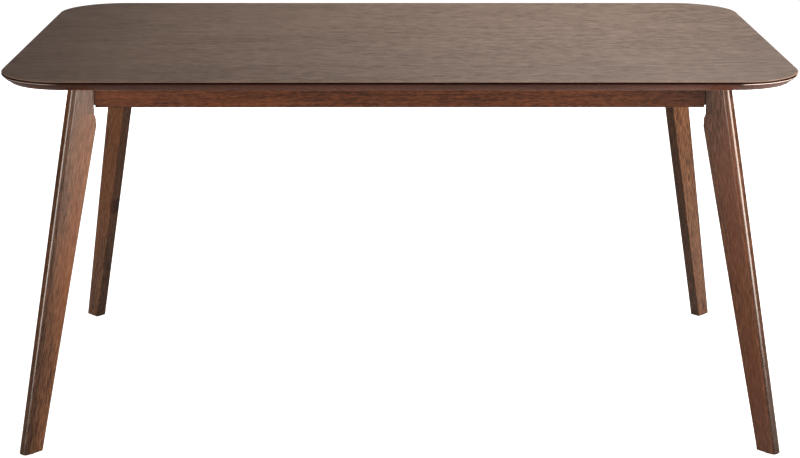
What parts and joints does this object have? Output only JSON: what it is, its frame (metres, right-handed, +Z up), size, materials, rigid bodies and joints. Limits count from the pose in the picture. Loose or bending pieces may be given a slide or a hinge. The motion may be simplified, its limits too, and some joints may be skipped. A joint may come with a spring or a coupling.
{
  "type": "dining table",
  "caption": "Rectangular dining table with large rounded corners, an undercut top edge, a recessed apron and splayed, tapered board legs.",
  "frame": {"origin": "on the floor, under the middle of the top", "axes": "+X to the right along the table's length, +Y to the back, +Z up; the pictured side is at -Y"},
  "size_m": [1.5, 0.9, 0.74],
  "materials": {
    "top_veneer": "satin lacquered walnut veneer",
    "lipping": "satin lacquered solid walnut",
    "apron_wood": "satin lacquered walnut",
    "leg_wood": "satin lacquered walnut",
    "backing": "lacquered veneer",
    "core": "raw board",
    "block_wood": "planed, unfinished",
    "dowel_wood": "fluted beech",
    "zinc_steel": "bright zinc plate",
    "black_steel": "black oxide",
    "insert_alloy": "turned",
    "nylon": "moulded"
  },
  "bodies": {
    "root": {"core_board": "core", "face_veneer": "top_veneer", "backing_veneer": "backing", "lip_front": "lipping", "lip_back": "lipping", "lip_left": "lipping", "lip_right": "lipping", "lip_corner_front_left": "lipping", "lip_corner_front_right": "lipping", "lip_corner_back_left": "lipping", "lip_corner_back_right": "lipping", "apron_front": "apron_wood", "apron_back": "apron_wood", "apron_left": "apron_wood", "apron_right": "apron_wood", "centre_rail": "block_wood", "rail_dowels": "dowel_wood", "corner_block_front_left": "block_wood", "corner_block_front_right": "block_wood", "corner_block_back_left": "block_wood", "corner_block_back_right": "block_wood", "leg_front_left": "leg_wood", "leg_front_right": "leg_wood", "leg_back_left": "leg_wood", "leg_back_right": "leg_wood", "foot_glide_front_left": "nylon", "foot_glide_front_right": "nylon", "foot_glide_back_left": "nylon", "foot_glide_back_right": "nylon", "glide_nails": "zinc_steel", "leg_inserts": "insert_alloy", "leg_bolts": "zinc_steel", "leg_spring_washers": "zinc_steel", "leg_washers": "zinc_steel", "block_screws": "black_steel", "top_brackets": "zinc_steel", "bracket_apron_screws": "black_steel", "bracket_top_screws": "black_steel"}
  },
  "joints": []
}
